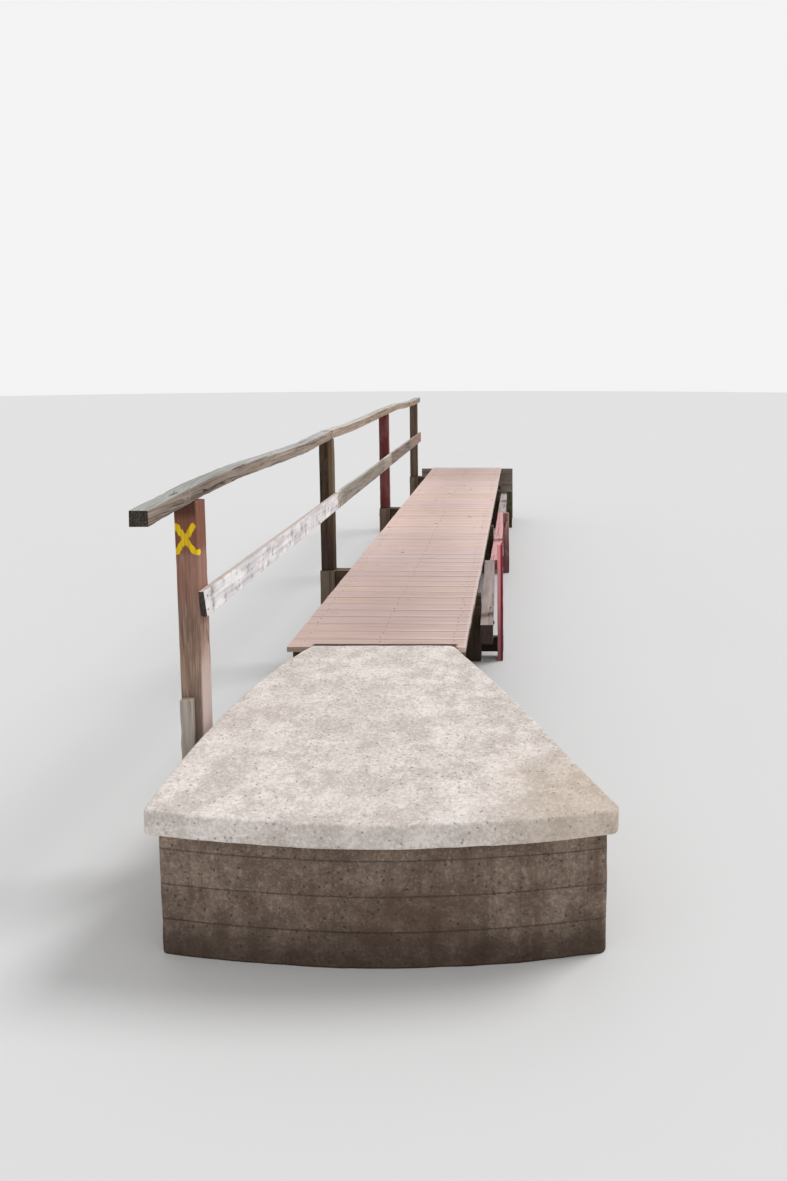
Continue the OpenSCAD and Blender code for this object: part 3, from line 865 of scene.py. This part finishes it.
def islands(shape: Shape) -> list[list[Vert]]:
    """Find the separate timbers in a mesh.

    Args:
        shape: the mesh.

    Returns:
        The vertices of each timber, in a fixed order.
    """
    waiting = set(shape.verts)
    found = []
    for start in shape.verts:
        if start not in waiting:
            continue
        waiting.discard(start)
        group, edge = [start], [start]
        while edge:
            vert = edge.pop()
            for link in vert.link_edges:
                other = link.other_vert(vert)
                if other in waiting:
                    waiting.discard(other)
                    group.append(other)
                    edge.append(other)
        found.append(group)
    return found


def extent(verts: list[Vert]) -> tuple[Vector, Vector]:
    """Lowest and highest corner of some vertices."""
    return (Vector(min(v.co[i] for v in verts) for i in range(3)),
            Vector(max(v.co[i] for v in verts) for i in range(3)))


def slice_across(shape: Shape, axis: Axis, low: float, high: float, spacing: float) -> None:
    """Cut a mesh with planes square to an axis, so that its surface can stray between them.

    Args:
        shape: the mesh.
        axis: the direction that the planes are square to.
        low: where the mesh, or the part that is cut, begins on it.
        high: where it ends.
        spacing: about how far the planes lie apart.
    """
    normal = Vector((0.0, 0.0, 0.0))
    normal[axis.value] = 1.0
    count = max(1, round((high - low) / spacing))
    for plane in range(1, count):
        place = low + (high - low) * plane / count
        bmesh.ops.bisect_plane(shape, geom=[*shape.verts, *shape.edges, *shape.faces],
                               dist=MERGE_DISTANCE, plane_co=normal * place, plane_no=normal)


def shift(moves: dict[Vert, Vector]) -> None:
    """Move vertices, once all their moves are known."""
    for vert, move in moves.items():
        vert.co += move


def put(name: str, data: bpy.types.ID) -> Piece:
    """Put an object into the scene.

    Args:
        name: its name.
        data: its mesh, lamp or camera.

    Returns:
        The object.
    """
    thing = bpy.data.objects.new(name, data)
    bpy.context.scene.collection.objects.link(thing)
    return thing


def make_piece(name: str, shape: Shape, materials: list[Material],
               nodes: tuple[str, ...] = ()) -> Piece:
    """Turn a mesh into a piece of the bridge.

    Args:
        name: name of the piece.
        shape: its mesh, which is used up.
        materials: its materials.
        nodes: the CAD nodes that it stands for.

    Returns:
        The piece, joined to the frame.
    """
    mesh = bpy.data.meshes.new(name)
    shape.to_mesh(mesh)
    shape.free()
    if "custom_normal" in mesh.attributes:
        mesh.attributes.remove(mesh.attributes["custom_normal"])
    for material in materials:
        mesh.materials.append(material)
    mesh.shade_smooth()
    piece = put(name, mesh)
    piece.modifiers.new("even_shading", "WEIGHTED_NORMAL").keep_sharp = True
    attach(piece, "root")
    if nodes:
        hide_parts(*nodes)
    LOG.info("%s: %d faces", name, len(mesh.polygons))
    return piece


@dataclass
class Timber:
    """Sawn timber of one CAD node, weathered."""

    node: str  # the CAD node
    finish: TimberFinish  # its finish
    slot: str  # the record's slot for it
    arris: float = 0.004  # width of the eased edges
    spacing: float = 0.05  # distance between the cuts along the grain
    stray: float = 0.0015  # how far the surface strays from flat
    wear: float = 0.003  # how far the edges are worn back at most
    waves: Triple = (4.0, 0.9, 23.0)  # waves, bows and worn spots per metre

    def build(self) -> Piece:
        """Build the piece and put it in the scene.

        Returns:
            The piece.
        """
        shape = frame_shape(self.node)
        low, high = extent(islands(shape)[0])
        size = high - low
        axis = Axis(max(range(3), key=lambda i: size[i]))
        self.ease(shape)
        low, high = extent(shape.verts)
        slice_across(shape, axis, low[axis.value], high[axis.value], self.spacing)
        self.slice_more(shape)
        self.mark(shape, axis)
        self.weather(shape)
        materials = [self.finish.material(cut) for cut in (Cut.SIDE, Cut.END)]
        return make_piece(f"{self.node}_timber", shape, materials, (self.node,))

    def ease(self, shape: Shape) -> None:
        """Round the edges and mark the rounded faces as rim.

        Args:
            shape: the mesh.
        """
        rim = shape.faces.layers.float.new("rim")
        made = bmesh.ops.bevel(shape, geom=shape.edges[:], offset=self.arris,
                               offset_type="OFFSET", segments=2, profile=0.5, affect="EDGES",
                               clamp_overlap=True, material=-1)
        for face in made["faces"]:
            face[rim] = 1.0

    def slice_more(self, shape: Shape) -> None:
        """Make further cuts, where a kind of timber needs them."""

    def mark(self, shape: Shape, axis: Axis) -> None:
        """Write each point's place in the grain, each timber's tint and how its faces look.

        Args:
            shape: the mesh.
            axis: direction of the grain.
        """
        chance = random.Random(self.node)
        grain = shape.verts.layers.float_vector.new("grain")
        tint = shape.verts.layers.float_vector.new("tint")
        facing = shape.faces.layers.float.new("facing")
        first, second = (i for i in range(3) if i != axis.value)
        for group in islands(shape):
            low, high = extent(group)
            middle, size = (low + high) / 2, high - low
            start = chance.uniform(0.0, GRAIN_LENGTH)
            pith = (chance.uniform(*PITH_ASIDE) * size[first],
                    chance.choice((-1.0, 1.0)) * chance.uniform(*PITH_AWAY) * size[second])
            look = (chance.uniform(-1.0, 1.0), chance.uniform(-1.0, 1.0), chance.uniform(0.0, 1.0))
            for vert in group:
                place = vert.co - middle
                vert[grain] = (start + place[axis.value], place[first] + pith[0],
                               place[second] + pith[1])
                vert[tint] = look
        shape.normal_update()
        for face in shape.faces:
            face[facing] = face.normal.z
            face.material_index = int(abs(face.normal[axis.value]) > SAWN_END_FACING)

    def weather(self, shape: Shape) -> None:
        """Let the surfaces stray a little and wear the edges back unevenly.

        Args:
            shape: the mesh.
        """
        rim = shape.faces.layers.float["rim"]
        waves, bows, spots = self.waves
        moves = {}
        for vert in shape.verts:
            move = noise.noise_vector(vert.co * waves) * self.stray
            move += noise.noise_vector(vert.co * bows) * 2.0 * self.stray
            if any(face[rim] for face in vert.link_faces):
                worn = 0.5 + 0.5 * noise.noise(vert.co * spots)
                move -= vert.normal * self.wear * worn * worn
            moves[vert] = move
        shift(moves)


@dataclass
class DeckSection(Timber):
    """One section of the deck: a row of boards, each with its own cup and tint."""

    cup: float = 0.0008  # rise of a board's edges over its middle
    jitter: float = 0.0008  # how far one board lies above the next at most
    swell: float = 0.002  # how far the wet has moved a board's edges outwards
    strips: int = 4  # strips along the grain that a board is cut into
    spacing: float = 0.07
    arris: float = 0.0018
    wear: float = 0.0015

    def slice_more(self, shape: Shape) -> None:
        """Cut each board along its grain too, so that it can cup.

        Args:
            shape: the mesh.
        """
        for group in islands(shape):
            low, high = extent(group)
            slice_across(shape, Axis.ALONG, low.y, high.y, (high.y - low.y) / self.strips)

    def weather(self, shape: Shape) -> None:
        """Cup each board and lift or tilt it a little, then wear it as any timber.

        Args:
            shape: the mesh.
        """
        chance = random.Random(f"{self.node} boards")
        for group in islands(shape):
            low, high = extent(group)
            middle = (low + high) / 2
            half = (high.y - low.y) / 2
            lift = chance.uniform(0.0, self.jitter)
            tilt = chance.uniform(-self.jitter, self.jitter)
            slide = chance.uniform(-2.0, 2.0) * self.jitter
            for vert in group:
                share = (vert.co.y - middle.y) / half
                vert.co.z += lift + tilt * share * 0.5 + self.cup * (share * share - 0.5)
                vert.co.x += slide
                vert.co.y += self.swell * share
        super().weather(shape)


@dataclass
class CastBlock:
    """Cast concrete of one CAD node, with worn edges."""

    node: str  # the CAD node
    finish: CastFinish  # its finish
    slot: str  # the record's slot for it
    arris: float = 0.012  # width of the worn edges
    spacing: float = 0.04  # distance between the cuts
    stray: float = 0.003  # how far the surface strays from flat
    waves: Triple = (2.2, 9.0, 27.0)  # waves, bumps and small bumps per metre

    def build(self) -> Piece:
        """Build the piece and put it in the scene.

        Returns:
            The piece.
        """
        shape = frame_shape(self.node)
        edges = [e for e in shape.edges if e.calc_face_angle(0.0) > CAST_EDGE_ANGLE]
        bmesh.ops.bevel(shape, geom=edges, offset=self.arris, offset_type="OFFSET", segments=3,
                        profile=0.5, affect="EDGES", clamp_overlap=True, material=-1)
        low, high = extent(shape.verts)
        for axis in Axis:
            slice_across(shape, axis, low[axis.value], high[axis.value], self.spacing)
        shape.normal_update()
        waves, bumps, small = self.waves
        moves = {}
        for vert in shape.verts:
            rise = 0.6 * noise.noise(vert.co * bumps) + 0.3 * noise.noise(vert.co * small)
            flat = noise.noise_vector(vert.co * waves) * self.stray
            moves[vert] = flat + vert.normal * self.stray * rise
        shift(moves)
        for vert in shape.verts:
            vert.co.z = max(vert.co.z, 0.0)
        return make_piece(f"{self.node}_cast", shape, [self.finish.material()],
                          (self.node,))


@dataclass
class Fixings:
    """Nails and bolts, of one kind in one piece."""

    name: str  # name of the piece
    radius: float  # radius of a head
    height: float  # how far a head stands out
    sides: int = 10  # number of a head's sides
    washer: float = 0.0  # radius of the washer under it, or 0
    washer_share: float = 0.35  # height of the washer, as a share of the head's
    washer_sides: int = 16  # number of its sides
    taper: float = 0.88  # radius of a head's outer face, as a share of its inner one's
    heads: list[Head] = field(default_factory=list)  # place and direction of each head

    def disc(self, shape: Shape, head: Head, radius: float, height: float, sides: int) -> None:
        """Set one disc half into the surface, at a head's place."""
        turn = UP.rotation_difference(head[1]).to_matrix().to_4x4()
        bmesh.ops.create_cone(shape, cap_ends=True, segments=sides, radius1=radius,
                              radius2=self.taper * radius, depth=2 * height,
                              matrix=Matrix.Translation(head[0]) @ turn)

    def build(self) -> Piece:
        """Build all heads as one piece.

        Returns:
            The piece.
        """
        shape = bmesh.new()
        for head in self.heads:
            self.disc(shape, head, self.radius, self.height, self.sides)
            if self.washer:
                self.disc(shape, head, self.washer, self.washer_share * self.height,
                          self.washer_sides)
        return make_piece(self.name, shape, [IRON.material()])


@dataclass
class Deck:
    """The walkway: five sections of boards and their nails."""

    nail_radius: float = 0.0035  # radius of a nail's head
    nail_height: float = 0.0010  # how far it stands out
    nail_spread: float = 0.27  # distance of the nails from a board's middle, in board widths
    nail_stray: Pair = (0.012, 0.006)  # how far it strays across and along

    def build(self) -> None:
        """Build the boards and the nails."""
        for section in range(SECTIONS):
            DeckSection(f"deck_boards_{section + 1}", DECK, "deck_board").build()
        self.nails().build()

    def nails(self) -> Fixings:
        """Set two nails through each board into each stringer.

        Returns:
            The nails.
        """
        first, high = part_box("deck_boards_1")
        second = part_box("deck_boards_2")[0]
        pitch = (second.y - first.y) / BOARDS_PER_SECTION
        width = high.y - first.y - pitch * (BOARDS_PER_SECTION - 1)
        chance = random.Random("deck nails")
        across, along = self.nail_stray
        nails = Fixings("deck_nails", self.nail_radius, self.nail_height)
        for board in range(SECTIONS * BOARDS_PER_SECTION):
            for side in ("left", "middle", "right"):
                low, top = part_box(f"stringer_{side}")
                for spread in (-self.nail_spread, self.nail_spread):
                    x = (low.x + top.x) / 2 + chance.uniform(-across, across)
                    y = first.y + board * pitch + width * (0.5 + spread)
                    place = Vector((x, y + chance.uniform(-along, along), high.z))
                    nails.heads.append((place, UP))
        return nails


@dataclass
class Substructure:
    """Stringers, piers, side beams and their bolts."""

    bolt_radius: float = 0.012  # radius of a bolt's head
    bolt_height: float = 0.009  # how far it stands out
    washer_radius: float = 0.022  # radius of its washer
    tie_bolt_inset: float = 0.06  # distance of a tie's bolts from the legs' outer faces

    def build(self) -> None:
        """Build the timbers and the bolts."""
        for side in ("left", "middle", "right"):
            Timber(f"stringer_{side}", DARK, "dark_timber", spacing=0.12).build()
        for pier in PIERS:
            for part in ("legs", "cap", "bearer", "tie"):
                Timber(f"pier_{pier}_{part}", DARK, "dark_timber").build()
        for part in ("near", "far"):
            Timber(f"left_side_beam_{part}", GREY, "grey_timber", spacing=0.08).build()
        Timber("right_side_beam_near", BEAM_GREY, "grey_timber", spacing=0.06).build()
        Timber("right_side_beam_far", BEAM_RED, "red_timber", spacing=0.06).build()
        self.bolts().build()

    def beam_bolt(self, side: str, place: float) -> Head:
        """Find where a bolt stands on the outer face of a side beam.

        Args:
            side: "left" or "right".
            place: where the bolt lies along the bridge.

        Returns:
            Place and direction of its head.
        """
        outward = 1.0 if side == "right" else -1.0
        for part in ("near", "far"):
            low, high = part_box(f"{side}_side_beam_{part}")
            if low.y < place < high.y:
                shape = frame_shape(f"{side}_side_beam_{part}")
                middle = (low.y + high.y) / 2
                ends = [max((v.co.copy() for v in shape.verts if (v.co.y > middle) is beyond),
                            key=lambda corner: outward * corner.x) for beyond in (False, True)]
                level = (low.z + high.z) / 2
                shape.free()
        run = ends[1] - ends[0]
        share = (place - ends[0].y) / run.y
        head = Vector((ends[0].x + share * run.x, place, level))
        return head, Vector((outward * run.y, -outward * run.x, 0.0)).normalized()

    def bolts(self) -> Fixings:
        """Set bolts through side beams and legs, through piles and bearers, and through ties.

        Returns:
            The bolts.
        """
        bolts = Fixings("frame_bolts", self.bolt_radius, self.bolt_height, 6, self.washer_radius)
        for pier in PIERS:
            legs_low, legs_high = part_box(f"pier_{pier}_legs")
            middle = (legs_low.y + legs_high.y) / 2
            bolts.heads += [self.beam_bolt(side, middle) for side in ("right", "left")]
            low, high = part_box(f"pier_{pier}_bearer")
            outer_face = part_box(f"left_pile_{pier}")[0].x
            place = Vector((outer_face, middle, (low.z + high.z) / 2))
            bolts.heads.append((place, Vector((-1.0, 0.0, 0.0))))
            low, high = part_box(f"pier_{pier}_tie")
            for x in (legs_low.x + self.tie_bolt_inset, legs_high.x - self.tie_bolt_inset):
                place = Vector((x, high.y, (low.z + high.z) / 2))
                bolts.heads.append((place, Vector((0.0, 1.0, 0.0))))
        return bolts


@dataclass
class Railing:
    """Posts, piles, top rail, middle rail and the old stub."""

    nail_radius: float = 0.005  # radius of a nail's head
    nail_height: float = 0.0015  # how far it stands out
    nail_offsets: Pair = (-0.03, 0.04)  # places from a post's middle
    nail_levels: Pair = (0.25, 0.75)  # their levels, as shares of the rail's height

    def build(self) -> None:
        """Build the timbers and the nails."""
        for pile in PIERS:
            Timber(f"left_pile_{pile}", PILE, "grey_timber", wear=0.006).build()
        Timber("rail_post_1", POST_1, "brown_timber").build()
        Timber("rail_post_2", POST_2, "dark_timber").build()
        Timber("rail_post_3", RED, "red_timber").build()
        Timber("rail_post_4", POST_4, "dark_timber").build()
        Timber("old_stub", STUB, "pale_timber", wear=0.006).build()
        for part in LENGTHS:
            Timber(f"top_rail_{part}", RAIL, "grey_timber", wear=0.006).build()
        Timber("mid_rail_near", WHITEWASHED, "pale_timber", arris=0.003).build()
        Timber("mid_rail_middle", SILVER, "grey_timber", arris=0.003).build()
        Timber("mid_rail_far", BROWN, "brown_timber", arris=0.003).build()
        self.nails().build()

    def nails(self) -> Fixings:
        """Set nails through the middle rail's boards into the posts.

        Returns:
            The nails.
        """
        nails = Fixings("rail_nails", self.nail_radius, self.nail_height)
        rails = [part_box(f"mid_rail_{part}") for part in LENGTHS]
        for post in (1, 2, 3, 4):
            post_low, post_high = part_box(f"rail_post_{post}")
            middle = (post_low.y + post_high.y) / 2
            for low, high in rails:
                for place in (middle + offset for offset in self.nail_offsets):
                    if low.y < place < high.y:
                        for share in self.nail_levels:
                            head = Vector((high.x, place, low.z + share * (high.z - low.z)))
                            nails.heads.append((head, Vector((1.0, 0.0, 0.0))))
        return nails


@dataclass
class RightStubs:
    """What is left of the posts on the right side."""

    def build(self) -> None:
        """Build the three stubs."""
        Timber("right_stub_1", STUB_RED, "red_timber", wear=0.006).build()
        Timber("right_stub_2", STUB_PINK, "red_timber", wear=0.006).build()
        Timber("right_stub_3", MOSSY, "dark_timber", wear=0.008).build()


@dataclass
class Banks:
    """The landing at the near end and the abutment at the far end."""

    def build(self) -> None:
        """Build the cast blocks, the sill and the planks."""
        CastBlock("landing_slab", LANDING, "concrete", spacing=0.03).build()
        CastBlock("landing_footing", SOILED, "soiled_concrete", spacing=0.06, stray=0.005).build()
        CastBlock("far_abutment", SOILED, "soiled_concrete", spacing=0.06, stray=0.004).build()
        Timber("far_sill", DARK, "dark_timber").build()
        Timber("retaining_planks", GREY, "grey_timber").build()


@dataclass
class Studio:
    """Floor, light and camera."""

    floor_radius: float = 60.0  # radius of the floor
    sky_light: float = 0.62  # strength of the even light from all sides
    backdrop: float = 0.9  # how white the camera sees what lies beyond the floor
    sun_light: float = 1.35  # strength of the soft lamp above
    sun_from: Triple = (0.55, 0.30, 0.78)  # where the lamp stands, as a direction
    sun_angle: float = 24.0  # how soft the lamp is, in degrees
    eye: Triple = (0.823, -5.007, 2.361)  # place of the camera
    pitch: float = 5.75  # tilt of the camera below the horizon, in degrees
    picture: tuple[int, int] = (787, 1181)  # width and height of the picture, in its pixels
    axis: Pair = (523.3, 450.0)  # lens axis, from the upper left corner
    reach: float = 921.0  # focal length, in pixels of the picture
    sensor: float = 36.0  # width of the camera's sensor, in millimetres
    sight: float = 300.0  # how far the camera sees

    def build(self) -> None:
        """Set up floor, light, camera and view."""
        bpy.context.scene.view_settings.view_transform = "Standard"
        self.floor()
        self.world()
        self.lamp()
        self.camera()

    def floor(self) -> None:
        """Lay the pale floor."""
        shape = bmesh.new()
        bmesh.ops.create_circle(shape, cap_ends=True, segments=64, radius=self.floor_radius)
        mesh = bpy.data.meshes.new("floor")
        shape.to_mesh(mesh)
        shape.free()
        pen = Pen("floor_paper", 0.0)
        place = pen.place()
        colour = pen.blend(pen.clouds(place, (0.5, 0.5, 0.5)), *FLOOR_WHITES)
        relief = pen.clouds(place, (2.0, 2.0, 2.0))
        mesh.materials.append(pen.finish(colour, 1.0, relief, 0.0001))
        put("floor", mesh)

    def world(self) -> None:
        """Even white light, seen by the camera as white."""
        world = bpy.data.worlds.new("studio")
        bpy.context.scene.world = world
        world.use_nodes = True
        tree = world.node_tree
        light = tree.nodes["Background"]
        seen = tree.nodes.new("ShaderNodeBackground")
        for source, strength in ((light, self.sky_light), (seen, self.backdrop)):
            source.inputs["Strength"].default_value = strength
            source.inputs["Color"].default_value = (1.0, 1.0, 1.0, 1.0)
        path = tree.nodes.new("ShaderNodeLightPath")
        either = tree.nodes.new("ShaderNodeMath")
        either.operation = "MAXIMUM"
        mixed = tree.nodes.new("ShaderNodeMixShader")
        for start, end in ((path.outputs["Is Camera Ray"], either.inputs[0]),
                           (path.outputs["Is Glossy Ray"], either.inputs[1]),
                           (either.outputs[0], mixed.inputs[0]),
                           (light.outputs[0], mixed.inputs[1]),
                           (seen.outputs[0], mixed.inputs[2]),
                           (mixed.outputs[0], tree.nodes["World Output"].inputs["Surface"])):
            tree.links.new(start, end)

    def lamp(self) -> None:
        """Hang the soft lamp."""
        data = bpy.data.lights.new("soft_sun", "SUN")
        data.energy = self.sun_light
        data.angle = math.radians(self.sun_angle)
        lamp = put("soft_sun", data)
        lamp.rotation_mode = "QUATERNION"
        lamp.rotation_quaternion = Vector(self.sun_from).to_track_quat("Z", "Y")

    def camera(self) -> None:
        """Stand the camera where the bridge was seen from."""
        data = bpy.data.cameras.new("camera")
        width, height = self.picture
        data.sensor_width = self.sensor
        data.lens = self.reach / height * self.sensor
        data.shift_x = (width / 2 - self.axis[0]) / height
        data.shift_y = (self.axis[1] - height / 2) / height
        data.clip_end = self.sight
        camera = put("camera", data)
        camera.location = self.eye
        camera.rotation_euler = (math.radians(90.0 - self.pitch), 0.0, 0.0)
        bpy.context.scene.camera = camera


def main() -> None:
    """Build the footbridge and its studio."""
    logging.basicConfig(level=logging.INFO, format="%(message)s")
    noise.seed_set(NOISE_SEED)
    for part in (Studio(), Banks(), Substructure(), Deck(), Railing(), RightStubs()):
        LOG.info("building %s", type(part).__name__)
        part.build()


if __name__ == "__main__":
    main()
